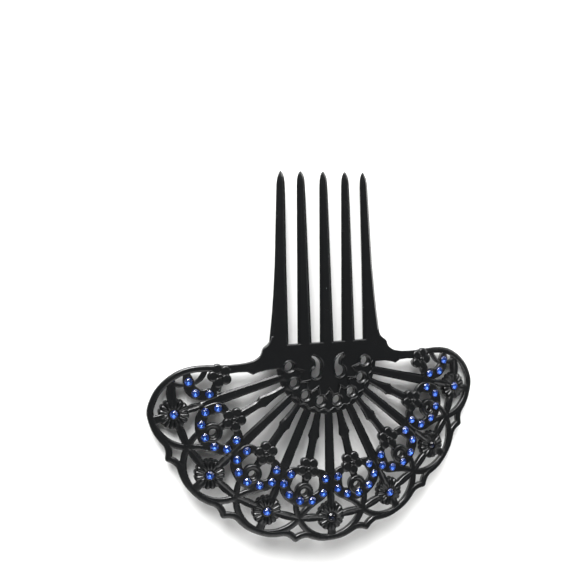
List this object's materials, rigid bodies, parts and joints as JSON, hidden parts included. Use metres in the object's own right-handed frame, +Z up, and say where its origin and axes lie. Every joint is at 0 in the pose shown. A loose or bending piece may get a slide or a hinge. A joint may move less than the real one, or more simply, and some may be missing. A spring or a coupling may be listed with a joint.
{
  "type": "peineta hair comb",
  "caption": "Fan-shaped peineta comb in black moulded plastic, with pierced ribs, flowers and scrolls set with round blue cut stones above pointed teeth.",
  "frame": {"origin": "middle of the footprint, on the surface the comb lies on", "axes": "+Y from the rim towards the tooth tips, +Z up out of the decorated face, +X to the right seen from above"},
  "size_m": [0.1448, 0.151, 0.0117],
  "materials": {
    "black_plastic": "satin-gloss moulded",
    "blue_stone": "polished, foil-backed",
    "dark_stone": "polished, foil dulled"
  },
  "bodies": {
    "root": {"comb": "black_plastic", "rim_stone_1": "blue_stone", "rim_stone_2": "blue_stone", "rim_stone_3": "blue_stone", "rim_stone_4": "dark_stone", "rim_stone_5": "blue_stone", "rim_stone_6": "dark_stone", "rim_stone_7": "blue_stone", "scroll_stones": "blue_stone"}
  },
  "joints": []
}
